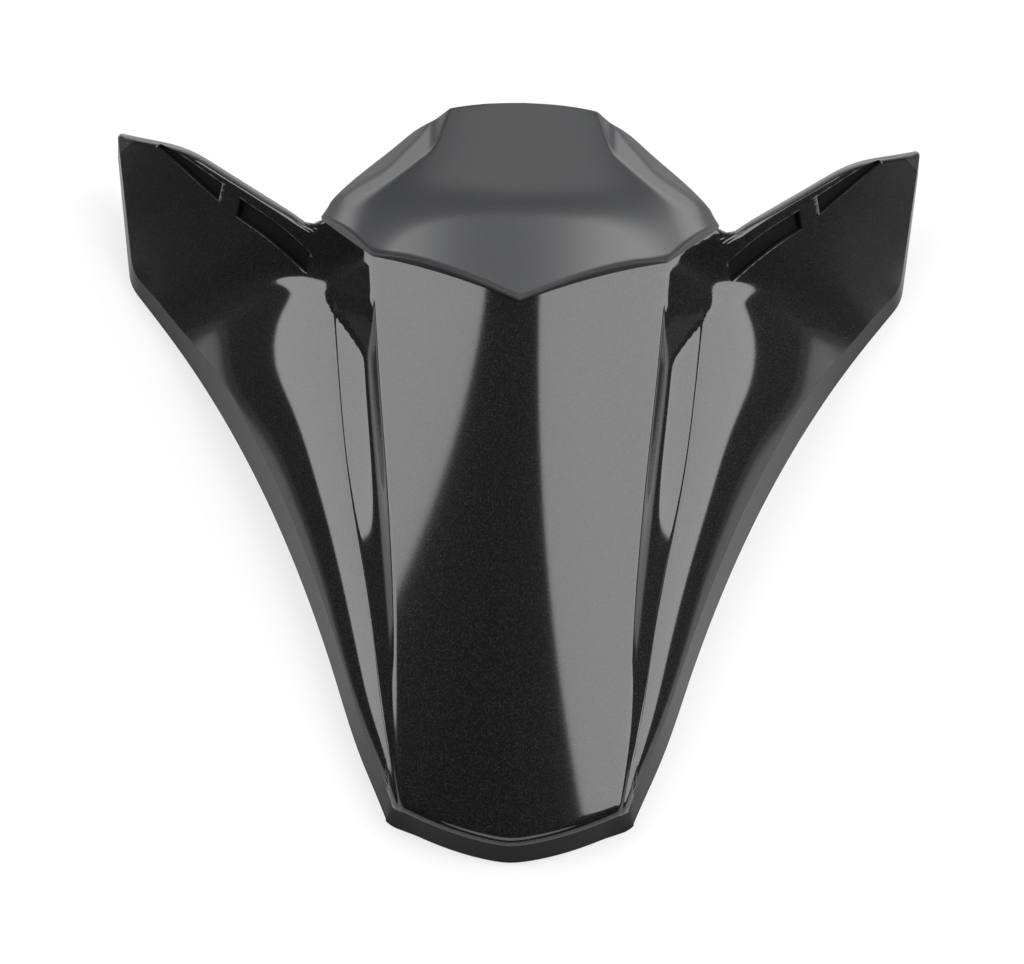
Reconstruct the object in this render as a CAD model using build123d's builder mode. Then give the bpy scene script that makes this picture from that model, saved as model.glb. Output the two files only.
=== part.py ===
"""Seat cowl for a motorbike: a moulded gloss shell with a satin crown cover, and the steel that locks it on.

The cowl lies on its lower rim. +Y points forward, from the tail lip to the wing tips, +X to the right and +Z up.
Stations along the cowl are measured forward from the tail tip, and widths from the middle plane.
"""
import os
from math import sqrt
from typing import NamedTuple

from build123d import *

# Overall sizes and walls, in millimetres
LENGTH = 332.0
WALL = 3.0
CROWN_WALL = 2.6
SEAT_GAP = 0.25

# Reach of the cutting forms: below the rim, above the crown and past the wing tips
BASE_DEPTH = 20.0
SKY = 170.0
TIP_OVERRUN = 18.0
CUT_MARGIN = 1.0


class Station(NamedTuple):
    """One cross-section of the shell: half widths and heights at a distance from the tail tip."""
    y: float
    rim: float
    foot: float
    skirt: float
    crease: float
    crease_height: float
    edge: float


# Cross-sections from behind the tail lip to beyond the wing tips
STATIONS = (
    Station(y=-14.0, rim=37.5, foot=35.0, skirt=1.0, crease=34.0, crease_height=3.0, edge=33.0),
    Station(y=20.0, rim=48.0, foot=45.5, skirt=12.5, crease=43.5, crease_height=14.5, edge=42.0),
    Station(y=82.0, rim=69.5, foot=66.5, skirt=15.5, crease=54.0, crease_height=29.5, edge=46.0),
    Station(y=150.0, rim=92.8, foot=89.8, skirt=16.0, crease=66.0, crease_height=45.5, edge=52.0),
    Station(y=213.0, rim=122.3, foot=119.3, skirt=14.0, crease=73.6, crease_height=62.0, edge=57.5),
    Station(y=273.0, rim=162.0, foot=159.0, skirt=8.0, crease=112.0, crease_height=56.0, edge=58.0),
)
WING_TIP = Station(y=LENGTH + TIP_OVERRUN, rim=175.5, foot=163.0, skirt=22.0, crease=116.0, crease_height=70.0, edge=58.0)

# Skirt: lean of its wall along the flanks and at the wing tips, as a run for each unit of height
SKIRT_LEAN = 0.19
WING_LEAN = 0.06
FLANK_BULGE = 0.15
FLANK_FOOT_SLOPE = 1.65
FLANK_REACH = 8.0

# Spine: the crowned plateau along the middle, its height at the tail and its slopes
SPINE_TAIL_HEIGHT = 13.5
SPINE_TAIL_SLOPE = 0.414
SPINE_FRONT_SLOPE = 0.317
SPINE_BEND_END = 201.0
SPINE_RADIUS = 159.0
SPINE_ROUND_HALF = 57.0

# Step beside the spine: a short steep drop, then a shallower ledge down to the flank's crease
STEP_DROP_WIDTH = 0.3
STEP_DROP_FALL = 0.6
STEP_FOOT_SLOPE = 2.0
STEP_MARGIN = 30.0

# Wing wall: a point on it, and how it falls outward and rises forward
WING_WALL_POINT = (73.6, 213.0, 62.5)
WING_WALL_FALL = 1.35
WING_WALL_RISE = 0.86

# Wing slots, as corners on the wing wall: along it, and up its slope
INNER_SLOT = ((25.0, 8.4), (73.1, -3.3), (69.4, -8.7), (20.9, 2.4))
OUTER_SLOT = ((84.7, -6.0), (126.9, -19.6), (125.6, -21.4), (82.3, -11.2))

# Front and tail outline, seen from above
TAIL_SIDE = (31.0, 9.3)
TAIL_CORNER = (48.5, 19.0)
WING_TIP_SIDE = 169.0
WING_BEND_SIDE = 136.5
WING_BEND_BACK = 27.5
VALLEY = (82.0, 247.0)
NOSE_SIDE = (46.0, 266.0)
NOSE_Y = 273.0
WING_LIFT_START = 274.0
WING_LIFT_SLOPE = 0.30

# Crown: seam outline, seen from above
CROWN_TIP_Y = 201.5
CROWN_BEND = (58.7, 225.5)
CROWN_CORNER = (77.0, 243.5)
CROWN_SETBACK = 2.5

# Crown: the crest, the face behind it, the sides and the scoop above the seam
CREST_Y = 263.0
CREST_HEIGHT = 135.0
CREST_HALF = 27.4
CREST_LEAN = 0.25
CREST_RADIUS = 110.0
CROWN_FACE_SLOPE = 1.24
CROWN_FOOT_RADIUS = 600.0
CROWN_CHEEK_FALL = 0.70
CROWN_CHEEK_RISE = 0.63
CROWN_SIDE_FALL = 0.82
CROWN_SIDE_RISE = 0.30
CROWN_BEVEL = 1.2
SCOOP_LIP = 2.2
SCOOP_SLOPE = 0.404
SCOOP_RADIUS = 130.0

# Crown fixings: screws up through the shell into bosses
CROWN_SCREW_SPOTS = ((24.0, 254.0), (52.0, 247.0))
BOSS_DIAMETER = 9.0
PAD_DIAMETER = 11.0
PAD_DROP = 1.5
SCREW_DIAMETER = 4.0
SCREW_CLEARANCE = 0.25
PILOT_CLEARANCE = 0.1
SCREW_HEAD_DIAMETER = 8.0
SCREW_HEAD_HEIGHT = 2.6
SCREW_LENGTH = 12.0
DRIVE_RADIUS = 2.2
DRIVE_DEPTH = 1.6

# Lock bracket: a steel strap across the shell's bosses, with the striker below it
BRACKET_Y = 160.0
BRACKET_HEIGHT = 36.0
BRACKET_LENGTH = 116.0
BRACKET_WIDTH = 34.0
BRACKET_CORNER = 6.0
BRACKET_LIP = 6.0
STEEL = 2.5
BRACKET_SCREW_X = 36.0
BRACKET_SCREW_PITCH = 18.0
STRIKER_ROD = 8.0
STRIKER_SPAN = 26.0
STRIKER_DROP = 26.0
STRIKER_BEND = 8.0

# Rubber buffers under the ends of the bracket
RUBBER_X = 49.0
RUBBER_DIAMETER = 16.0
RUBBER_HEIGHT = 9.0
RUBBER_STEM = 6.0
RUBBER_CAP = 9.0
RUBBER_CAP_HEIGHT = 3.0

# Tail tongue: a flat steel plate with a stepped-down end, on two bosses
TONGUE_FRONT = 84.0
TONGUE_REAR = 30.0
TONGUE_WIDTH = 40.0
TONGUE_HEIGHT = 15.0
TONGUE_SCREW_X = 12.0
TONGUE_SCREW_Y = 74.0
TONGUE_HOOK = 4.0
TONGUE_CORNER = 5.0


def across(y):
    """Plane of a cross-section, with X to the right and its own Y upward."""
    return Plane.XZ.offset(LENGTH / 2 - y)


def from_tail(y):
    """Model coordinate of a station along the cowl."""
    return y - LENGTH / 2


def arc_drop(x, radius):
    """Fall of an arch at a distance from its middle."""
    return radius - sqrt(radius * radius - x * x)


def spine_height(y):
    """Height of the spine's middle line."""
    ease = (SPINE_FRONT_SLOPE - SPINE_TAIL_SLOPE) / (2 * SPINE_BEND_END)
    near = min(y, SPINE_BEND_END)
    bent = SPINE_TAIL_HEIGHT + SPINE_TAIL_SLOPE * near + ease * near * near
    return bent + SPINE_FRONT_SLOPE * max(0.0, y - SPINE_BEND_END)


def spine_drop(x, radius=SPINE_RADIUS):
    """Fall of a crowned surface from its middle line: an arc, then its tangent."""
    inner = min(x, SPINE_ROUND_HALF)
    tangent = SPINE_ROUND_HALF / sqrt(radius**2 - SPINE_ROUND_HALF**2)
    return arc_drop(inner, radius) + tangent * (x - inner)


def lean_offset(inset, slope):
    """Sideways move that shifts a sloping wall by the inset, square to itself."""
    return inset * sqrt(1 + slope * slope) / slope


def flank_volume(inset):
    """Everything under the flank on the right side."""
    with BuildPart() as flank:
        for station in (*STATIONS, WING_TIP):
            span = station.foot - station.crease
            rise = station.crease_height - station.skirt
            foot = station.foot - lean_offset(inset, rise / span)
            middle = (foot - span / 2, station.skirt + rise / 2 + FLANK_BULGE * span)
            out = (foot + FLANK_REACH, station.skirt - FLANK_REACH * FLANK_FOOT_SLOPE)
            with BuildSketch(across(station.y)):
                with BuildLine():
                    Line((0, -BASE_DEPTH), (out[0], -BASE_DEPTH))
                    Line((out[0], -BASE_DEPTH), out)
                    Line(out, (foot, station.skirt))
                    ThreePointArc((foot, station.skirt), middle, (foot - span, station.crease_height))
                    Line((foot - span, station.crease_height), (0, station.crease_height))
                    Line((0, station.crease_height), (0, -BASE_DEPTH))
                make_face()
        loft()
    return flank.part


def crowned_section(y, height, reach, radius=SPINE_RADIUS):
    """Sketch of everything under a crowned surface, as far out as its reach."""
    side = SPINE_ROUND_HALF
    low = -SKY / 2
    edge = (side, height - spine_drop(side, radius))
    far = (reach, height - spine_drop(reach, radius))
    with BuildSketch(across(y)) as section:
        with BuildLine():
            Line((0, low), (reach, low))
            Line((reach, low), far)
            Line(far, edge)
            ThreePointArc(edge, (side / 2, height - spine_drop(side / 2, radius)), (0, height))
            Line((0, height), (0, low))
        make_face()
    return section.sketch


def spine_volume(inset):
    """Everything under the spine's crowned surface, carried out over the wings."""
    reach = WING_TIP.rim + FLANK_REACH
    with BuildPart() as spine:
        for y in (STATIONS[0].y, SPINE_BEND_END / 2, SPINE_BEND_END, WING_TIP.y):
            add(crowned_section(y, spine_height(y) - inset, reach))
        loft()
    return spine.part


def crossing(first, second):
    """Point where two falling lines meet, each given as (x, height, fall)."""
    x1, z1, fall1 = first
    x2, z2, fall2 = second
    x = (z1 - z2 + fall1 * x1 - fall2 * x2) / (fall1 - fall2)
    return (x, z1 - fall1 * (x - x1))


def step_volume(inset):
    """Everything inside the steps beside the spine: a steep drop, a ledge, and a foot inside the flank."""
    with BuildPart() as step:
        for station in (*STATIONS[:-1], WING_TIP):
            edge_height = spine_height(station.y) - spine_drop(station.edge)
            crease = STATIONS[-2].crease if station is WING_TIP else station.crease
            crease_height = edge_height - STEP_MARGIN / 2 if station is WING_TIP else station.crease_height
            slope = (edge_height - crease_height) / (crease - station.edge)
            drop_slope = slope * STEP_DROP_FALL / STEP_DROP_WIDTH
            ledge_slope = slope * (1 - STEP_DROP_FALL) / (1 - STEP_DROP_WIDTH)
            drop = (station.edge - lean_offset(inset, drop_slope), edge_height, drop_slope)
            ledge = (crease - lean_offset(inset, ledge_slope), crease_height, ledge_slope)
            foot = (crease - lean_offset(inset, STEP_FOOT_SLOPE), crease_height, STEP_FOOT_SLOPE)
            top = edge_height + STEP_MARGIN
            with BuildSketch(across(station.y)):
                with BuildLine():
                    Polyline(
                        (0, -BASE_DEPTH),
                        (foot[0] + (crease_height + BASE_DEPTH) / STEP_FOOT_SLOPE, -BASE_DEPTH),
                        crossing(ledge, foot),
                        crossing(drop, ledge),
                        (drop[0] - STEP_MARGIN / drop_slope, top),
                        (0, top),
                        close=True,
                    )
                make_face()
        loft()
    return step.part


def wing_wall_plane(inset=0.0):
    """Plane of the right wing's upper wall, with its own X along the wall and its own Y up the slope."""
    x, y, z = WING_WALL_POINT
    normal = Vector(WING_WALL_FALL, -WING_WALL_RISE, 1).normalized()
    origin = Vector(x, from_tail(y), z) - normal * inset
    return Plane(origin=origin, x_dir=(WING_WALL_RISE, WING_WALL_FALL, 0), z_dir=normal)


def wing_wall_volume(inset):
    """Everything under the wing's upper wall, on the right side."""
    with BuildPart() as wall:
        with BuildSketch(wing_wall_plane(inset)):
            Rectangle(3 * SKY, 2 * SKY)
        extrude(amount=-SKY / 2)
        split(bisect_by=Plane.YZ, keep=Keep.TOP)
    return wall.part


def skirt_section(station, lean, inset, base):
    """Sketch of everything inside the leaning skirt."""
    rim = station.rim - inset
    with BuildSketch(across(station.y)) as sketch:
        with BuildLine():
            Polyline((0, base), (rim - base * lean, base), (rim - SKY * lean, SKY), (0, SKY), close=True)
        make_face()
    return sketch.sketch


def skirt_volume(inset, base):
    """Everything inside the skirt, from the tail to the wing tips."""
    with BuildPart() as skirt:
        for station in STATIONS:
            add(skirt_section(station, SKIRT_LEAN, inset, base))
        loft()
        add(skirt_section(STATIONS[-1], SKIRT_LEAN, inset, base))
        add(skirt_section(WING_TIP, WING_LEAN, inset, base))
        loft(ruled=True)
    return skirt.part


def outline_prism(inset, base):
    """The plan outline of the tail lip, the wings' front edges and the nose, as an upright prism."""
    far = 2 * WING_TIP.rim
    tail = (0, from_tail(0))
    tail_corner = (TAIL_CORNER[0], from_tail(TAIL_CORNER[1]))
    tail_out = (2 * TAIL_CORNER[0] - TAIL_SIDE[0], from_tail(2 * TAIL_CORNER[1] - TAIL_SIDE[1]))
    bend = (WING_BEND_SIDE, from_tail(LENGTH - WING_BEND_BACK))
    tip = (WING_TIP_SIDE, from_tail(LENGTH))
    valley = (VALLEY[0], from_tail(VALLEY[1]))
    nose = (0, from_tail(NOSE_Y))
    with BuildPart() as prism:
        with BuildSketch(Plane.XY.offset(base)):
            with BuildLine():
                ThreePointArc(tail, (TAIL_SIDE[0], from_tail(TAIL_SIDE[1])), tail_corner)
                Polyline(tail_corner, tail_out, (far, tail_out[1]), (far, tip[1]), tip, bend, valley)
                ThreePointArc(valley, (NOSE_SIDE[0], from_tail(NOSE_SIDE[1])), nose)
                Line(nose, tail)
            make_face()
            mirror(about=Plane.YZ)
            if inset:
                offset(amount=-inset)
        extrude(amount=SKY)
    return prism.part


def cowl_body(inset=0.0, base=0.0):
    """The solid form of the shell, with each surface moved inward by the inset."""
    with BuildPart() as body:
        add(step_volume(inset))
        add(wing_wall_volume(inset))
        add(spine_volume(inset), mode=Mode.INTERSECT)
        add(flank_volume(inset))
        add(skirt_volume(inset, base), mode=Mode.INTERSECT)
        mirror(about=Plane.YZ)
        add(outline_prism(inset, base), mode=Mode.INTERSECT)
    return body.part


def crown_face_volume(inset):
    """Everything under the crown's rear face, arched at its crest and flatter at its foot, on the right side."""
    reach = CROWN_CORNER[0] + FLANK_REACH
    drop = lean_offset(inset, 1 / CROWN_FACE_SLOPE)
    low = -SKY / 2
    with BuildPart() as face:
        for y, radius in (
            (CROWN_BEND[1], CROWN_FOOT_RADIUS),
            (CREST_Y, CREST_RADIUS),
            (NOSE_Y + FLANK_REACH, CREST_RADIUS),
        ):
            top = CREST_HEIGHT - drop + CROWN_FACE_SLOPE * (y - CREST_Y)
            side = (reach, top - arc_drop(reach, radius))
            middle = (reach / 2, top - arc_drop(reach / 2, radius))
            with BuildSketch(across(y)):
                with BuildLine():
                    Line((0, low), (reach, low))
                    Line((reach, low), side)
                    ThreePointArc(side, middle, (0, top))
                    Line((0, top), (0, low))
                make_face()
        loft(ruled=True)
    return face.part


def under_plane(point, normal, inset):
    """Everything under a plane through a point, moved inward by the inset."""
    normal = Vector(normal).normalized()
    origin = Vector(point[0], from_tail(point[1]), point[2]) - normal * inset
    with BuildPart() as block:
        with BuildSketch(Plane(origin=origin, z_dir=normal)):
            Rectangle(3 * SKY, 3 * SKY)
        extrude(amount=-SKY)
    return block.part


def crown_form(inset, base):
    """The solid form of the crown cover, with each surface moved inward by the inset."""
    crest_end = (CREST_HALF, CREST_Y, CREST_HEIGHT - arc_drop(CREST_HALF, CREST_RADIUS))
    side_normal = Vector(CROWN_SIDE_FALL, -CROWN_SIDE_RISE, 1).normalized()
    cheek_normal = Vector(CROWN_CHEEK_FALL, -CROWN_CHEEK_RISE, 1).normalized()
    bevel_normal = side_normal + cheek_normal
    scoop_height = spine_height(CROWN_TIP_Y) + SCOOP_LIP - inset
    far = NOSE_Y + FLANK_REACH
    tip = (0, from_tail(CROWN_TIP_Y))
    corner = (CROWN_CORNER[0], from_tail(CROWN_CORNER[1]))
    front_side = (NOSE_SIDE[0], from_tail(NOSE_SIDE[1] - CROWN_SETBACK))
    front = (0, from_tail(NOSE_Y - CROWN_SETBACK))
    with BuildPart() as crown:
        add(crown_face_volume(inset))
        add(under_plane(crest_end, side_normal, inset), mode=Mode.INTERSECT)
        add(under_plane(crest_end, bevel_normal, inset + CROWN_BEVEL), mode=Mode.INTERSECT)
        add(under_plane((0, CREST_Y, CREST_HEIGHT), (0, 1, CREST_LEAN), inset), mode=Mode.INTERSECT)
        for y in (CROWN_TIP_Y, far):
            height = scoop_height + SCOOP_SLOPE * (y - CROWN_TIP_Y)
            add(crowned_section(y, height, CROWN_CORNER[0] + FLANK_REACH, SCOOP_RADIUS))
        loft(ruled=True)
        mirror(about=Plane.YZ)
        with BuildSketch(Plane.XY.offset(base), mode=Mode.PRIVATE) as outline:
            with BuildLine():
                Polyline(tip, (CROWN_BEND[0], from_tail(CROWN_BEND[1])), corner)
                ThreePointArc(corner, front_side, front)
                Line(front, tip)
            make_face()
            mirror(about=Plane.YZ)
            if inset:
                offset(amount=-inset)
        extrude(outline.sketch, amount=SKY, mode=Mode.INTERSECT)
    return crown.part


def spine_surface(x, y):
    """Height of the shell's outer surface on the spine."""
    return spine_height(y) - spine_drop(x)


def pad_seat(spot):
    """Height of the flat pad under the shell that a crown screw's head pulls against."""
    radius = PAD_DIAMETER / 2
    return spine_surface(spot[0] + radius, spot[1] - radius) - WALL - PAD_DROP


def posts(spots, diameter, bottom, roof):
    """Upright posts on the right side, from a height up to the roof."""
    with BuildPart() as group:
        for x, y in spots:
            with BuildSketch(Plane.XY.offset(bottom)):
                with Locations((x, from_tail(y))):
                    Circle(diameter / 2)
        extrude(amount=SKY)
        add(roof, mode=Mode.INTERSECT)
    return group.part


def screw_hole(spot, diameter, bottom, depth):
    """Round cutter for a screw hole, upward from a height."""
    with BuildPart() as cutter:
        with BuildSketch(Plane.XY.offset(bottom)):
            with Locations((spot[0], from_tail(spot[1]))):
                Circle(diameter / 2)
        extrude(amount=depth)
    return cutter.part


def screw_group(seats, length):
    """Pan-head screws pointing up, from a list of (x, y, height of the head's seat), and their mirror images."""
    with BuildPart() as screws:
        for x, y, seat in seats:
            with BuildSketch(Plane.XY.offset(seat)):
                with Locations((x, from_tail(y))):
                    Circle(SCREW_HEAD_DIAMETER / 2)
            extrude(amount=-SCREW_HEAD_HEIGHT)
            with BuildSketch(Plane.XY.offset(seat)):
                with Locations((x, from_tail(y))):
                    Circle(SCREW_DIAMETER / 2)
            extrude(amount=length)
            with BuildSketch(Plane.XY.offset(seat - SCREW_HEAD_HEIGHT)):
                with Locations((x, from_tail(y))):
                    RegularPolygon(DRIVE_RADIUS, 6)
            extrude(amount=DRIVE_DEPTH, mode=Mode.SUBTRACT)
        mirror(about=Plane.YZ)
    return screws.part


BRACKET_SPOTS = tuple((BRACKET_SCREW_X, BRACKET_Y + side * BRACKET_SCREW_PITCH / 2) for side in (-1, 1))
TONGUE_SPOTS = ((TONGUE_SCREW_X, TONGUE_SCREW_Y),)
BRACKET_TOP = BRACKET_HEIGHT + STEEL
TONGUE_TOP = TONGUE_HEIGHT + STEEL
HOLE_DIAMETER = SCREW_DIAMETER + 2 * SCREW_CLEARANCE
PILOT_DIAMETER = SCREW_DIAMETER + 2 * PILOT_CLEARANCE
PILOT_DEPTH = SCREW_LENGTH + SCREW_CLEARANCE

os.makedirs("parts", exist_ok=True)

outer_form = cowl_body()
inner_form = cowl_body(inset=WALL, base=-CUT_MARGIN)
boss_roof = spine_volume(WALL / 2)
crown_seat = spine_volume(-SEAT_GAP)

with BuildPart() as cowl_shell:
    add(outer_form)
    add(inner_form, mode=Mode.SUBTRACT)
    # Wing slots
    for corners in (INNER_SLOT, OUTER_SLOT):
        with BuildSketch(wing_wall_plane()) as slot:
            with BuildLine():
                Polyline(*corners, close=True)
            make_face()
        slot_cut = extrude(amount=2 * WALL, both=True, mode=Mode.PRIVATE)
        add(slot_cut, mode=Mode.SUBTRACT)
        add(mirror(slot_cut, about=Plane.YZ, mode=Mode.PRIVATE), mode=Mode.SUBTRACT)
    # The wings' lower edge rises towards their tips
    with BuildSketch(Plane.YZ):
        with BuildLine():
            lift_run = LENGTH + FLANK_REACH - WING_LIFT_START
            lift_start = (from_tail(WING_LIFT_START), 0)
            lift_end = (lift_start[0] + lift_run, 0)
            Polyline(lift_start, lift_end, (lift_end[0], lift_run * WING_LIFT_SLOPE), close=True)
        make_face()
    extrude(amount=2 * SKY, both=True, mode=Mode.SUBTRACT)
    # Bosses for the bracket and the tongue, and pads for the crown's screws
    for spots, diameter, bottom in (
        (BRACKET_SPOTS, BOSS_DIAMETER, BRACKET_TOP),
        (TONGUE_SPOTS, BOSS_DIAMETER, TONGUE_TOP),
        *(((spot,), PAD_DIAMETER, pad_seat(spot)) for spot in CROWN_SCREW_SPOTS),
    ):
        post_group = posts(spots, diameter, bottom, boss_roof)
        add(post_group)
        add(mirror(post_group, about=Plane.YZ, mode=Mode.PRIVATE))
    # Pilot holes up into the bosses, and clear holes for the crown's screws
    for spot, diameter, bottom, depth in (
        *((spot, PILOT_DIAMETER, BRACKET_TOP, PILOT_DEPTH - STEEL) for spot in BRACKET_SPOTS),
        *((spot, PILOT_DIAMETER, TONGUE_TOP, PILOT_DEPTH - STEEL) for spot in TONGUE_SPOTS),
        *((spot, HOLE_DIAMETER, pad_seat(spot), PILOT_DEPTH) for spot in CROWN_SCREW_SPOTS),
    ):
        hole = screw_hole(spot, diameter, bottom, depth)
        add(hole, mode=Mode.SUBTRACT)
        add(mirror(hole, about=Plane.YZ, mode=Mode.PRIVATE), mode=Mode.SUBTRACT)
cowl_shell.part.label = "cowl_shell"
export_step(cowl_shell.part, "parts/cowl_shell.step")

crown_outer = crown_form(0.0, BASE_DEPTH)

with BuildPart() as crown_bosses:
    for x, y in CROWN_SCREW_SPOTS:
        with BuildSketch(Plane.XY.offset(BASE_DEPTH)):
            with Locations((x, from_tail(y)), (-x, from_tail(y))):
                Circle(BOSS_DIAMETER / 2)
    extrude(amount=SKY)
    add(crown_form(CROWN_WALL / 2, BASE_DEPTH), mode=Mode.INTERSECT)

with BuildPart() as crown_cover:
    add(crown_outer)
    add(crown_form(CROWN_WALL, BASE_DEPTH), mode=Mode.SUBTRACT)
    add(crown_bosses.part)
    add(crown_seat, mode=Mode.SUBTRACT)
    add(mirror(crown_seat, about=Plane.YZ, mode=Mode.PRIVATE), mode=Mode.SUBTRACT)
    for spot in CROWN_SCREW_SPOTS:
        hole = screw_hole(spot, PILOT_DIAMETER, pad_seat(spot), PILOT_DEPTH)
        add(hole, mode=Mode.SUBTRACT)
        add(mirror(hole, about=Plane.YZ, mode=Mode.PRIVATE), mode=Mode.SUBTRACT)
crown_cover.part.label = "crown_cover"
export_step(crown_cover.part, "parts/crown_cover.step")

with BuildPart() as lock_bracket:
    # Channel: a flat strap with a lip turned down along each long side
    with BuildSketch(Plane.XY.offset(BRACKET_HEIGHT)):
        with Locations((0, from_tail(BRACKET_Y))):
            RectangleRounded(BRACKET_LENGTH, BRACKET_WIDTH, BRACKET_CORNER)
    extrude(amount=STEEL)
    with BuildSketch(Plane.XY.offset(BRACKET_HEIGHT)):
        with Locations(
            (0, from_tail(BRACKET_Y - BRACKET_WIDTH / 2 + STEEL / 2)),
            (0, from_tail(BRACKET_Y + BRACKET_WIDTH / 2 - STEEL / 2)),
        ):
            Rectangle(BRACKET_LENGTH - 2 * BRACKET_CORNER, STEEL)
    extrude(amount=-BRACKET_LIP)
    with BuildSketch(Plane.XY.offset(BRACKET_HEIGHT)):
        for side in (-1, 1):
            for spot in BRACKET_SPOTS:
                with Locations((side * spot[0], from_tail(spot[1]))):
                    Circle(HOLE_DIAMETER / 2)
            with Locations((side * RUBBER_X, from_tail(BRACKET_Y))):
                Circle(RUBBER_STEM / 2 + SEAT_GAP)
            with Locations((side * STRIKER_SPAN / 2, from_tail(BRACKET_Y))):
                Circle(STRIKER_ROD / 2 + PILOT_CLEARANCE)
    extrude(amount=STEEL, mode=Mode.SUBTRACT)
lock_bracket.part.label = "lock_bracket"
export_step(lock_bracket.part, "parts/lock_bracket.step")

with BuildPart() as lock_striker:
    with BuildLine(across(BRACKET_Y)) as striker_path:
        FilletPolyline(
            (-STRIKER_SPAN / 2, BRACKET_TOP),
            (-STRIKER_SPAN / 2, BRACKET_HEIGHT - STRIKER_DROP),
            (STRIKER_SPAN / 2, BRACKET_HEIGHT - STRIKER_DROP),
            (STRIKER_SPAN / 2, BRACKET_TOP),
            radius=STRIKER_BEND,
        )
    with BuildSketch(Plane.XY.offset(BRACKET_TOP)):
        with Locations((-STRIKER_SPAN / 2, from_tail(BRACKET_Y))):
            Circle(STRIKER_ROD / 2)
    sweep(path=striker_path.line)
lock_striker.part.label = "lock_striker"
export_step(lock_striker.part, "parts/lock_striker.step")

with BuildPart() as bump_rubbers:
    with BuildSketch(across(BRACKET_Y)):
        with BuildLine():
            Polyline(
                (RUBBER_X, BRACKET_HEIGHT - RUBBER_HEIGHT),
                (RUBBER_X + RUBBER_DIAMETER / 2, BRACKET_HEIGHT - RUBBER_HEIGHT),
                (RUBBER_X + RUBBER_DIAMETER / 2, BRACKET_HEIGHT),
                (RUBBER_X + RUBBER_STEM / 2, BRACKET_HEIGHT),
                (RUBBER_X + RUBBER_STEM / 2, BRACKET_TOP),
                (RUBBER_X + RUBBER_CAP / 2, BRACKET_TOP),
                (RUBBER_X + RUBBER_STEM / 4, BRACKET_TOP + RUBBER_CAP_HEIGHT),
                (RUBBER_X, BRACKET_TOP + RUBBER_CAP_HEIGHT),
                close=True,
            )
        make_face()
    revolve(axis=Axis((RUBBER_X, from_tail(BRACKET_Y), 0), (0, 0, 1)))
    mirror(about=Plane.YZ)
bump_rubbers.part.label = "bump_rubbers"
export_step(bump_rubbers.part, "parts/bump_rubbers.step")

with BuildPart() as tail_tongue:
    with BuildSketch(Plane.YZ.offset(-TONGUE_WIDTH / 2)):
        with BuildLine():
            Polyline(
                (from_tail(TONGUE_FRONT), TONGUE_HEIGHT),
                (from_tail(TONGUE_REAR + 3 * TONGUE_HOOK), TONGUE_HEIGHT),
                (from_tail(TONGUE_REAR + 2 * TONGUE_HOOK), TONGUE_HEIGHT - TONGUE_HOOK),
                (from_tail(TONGUE_REAR), TONGUE_HEIGHT - TONGUE_HOOK),
                (from_tail(TONGUE_REAR), TONGUE_TOP - TONGUE_HOOK),
                (from_tail(TONGUE_REAR + 2 * TONGUE_HOOK), TONGUE_TOP - TONGUE_HOOK),
                (from_tail(TONGUE_REAR + 3 * TONGUE_HOOK), TONGUE_TOP),
                (from_tail(TONGUE_FRONT), TONGUE_TOP),
                close=True,
            )
        make_face()
    extrude(amount=TONGUE_WIDTH)
    fillet(tail_tongue.edges().filter_by(Axis.Z), TONGUE_CORNER)
    with BuildSketch(Plane.XY.offset(TONGUE_HEIGHT)):
        for side in (-1, 1):
            with Locations((side * TONGUE_SCREW_X, from_tail(TONGUE_SCREW_Y))):
                Circle(HOLE_DIAMETER / 2)
    extrude(amount=STEEL, mode=Mode.SUBTRACT)
tail_tongue.part.label = "tail_tongue"
export_step(tail_tongue.part, "parts/tail_tongue.step")

crown_seats = [(x, y, pad_seat((x, y))) for x, y in CROWN_SCREW_SPOTS]
bracket_seats = [(x, y, BRACKET_HEIGHT) for x, y in BRACKET_SPOTS]
tongue_seats = [(x, y, TONGUE_HEIGHT) for x, y in TONGUE_SPOTS]
for name, seats in (
    ("crown_screws", crown_seats),
    ("bracket_screws", bracket_seats),
    ("tongue_screws", tongue_seats),
):
    screws = screw_group(seats, SCREW_LENGTH)
    screws.label = name
    export_step(screws, f"parts/{name}.step")
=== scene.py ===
"""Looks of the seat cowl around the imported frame: gloss shell, satin crown, hidden steel, studio and camera.

Profile values are millimetres. Stations run forward from the tail tip, widths outward from the middle plane.
"""

import math

import bmesh
import bpy
import numpy as np
from mathutils import Matrix, Vector


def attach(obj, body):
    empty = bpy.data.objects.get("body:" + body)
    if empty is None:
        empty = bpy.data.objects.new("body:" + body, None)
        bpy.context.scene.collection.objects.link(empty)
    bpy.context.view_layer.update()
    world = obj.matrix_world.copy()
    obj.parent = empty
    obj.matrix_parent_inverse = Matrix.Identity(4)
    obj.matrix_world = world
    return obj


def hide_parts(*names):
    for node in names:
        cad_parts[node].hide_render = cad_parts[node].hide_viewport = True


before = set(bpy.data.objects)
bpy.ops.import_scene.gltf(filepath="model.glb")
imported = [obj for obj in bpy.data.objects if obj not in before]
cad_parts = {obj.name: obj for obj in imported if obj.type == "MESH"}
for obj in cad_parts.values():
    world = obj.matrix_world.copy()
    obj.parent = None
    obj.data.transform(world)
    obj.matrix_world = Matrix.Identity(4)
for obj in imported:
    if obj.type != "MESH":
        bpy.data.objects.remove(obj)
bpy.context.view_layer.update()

MM = 0.001
LENGTH = 332.0
WALL = 3.0

# Mesh density: columns on spine, step and flank, and rows behind and ahead of the wing roots
SPINE_COLUMNS = 26
STEP_COLUMNS = 42
FLANK_COLUMNS = 30
REAR_ROWS = 88
FRONT_ROWS = 104
FRONT_EDGE_ROWS = 18

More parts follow.
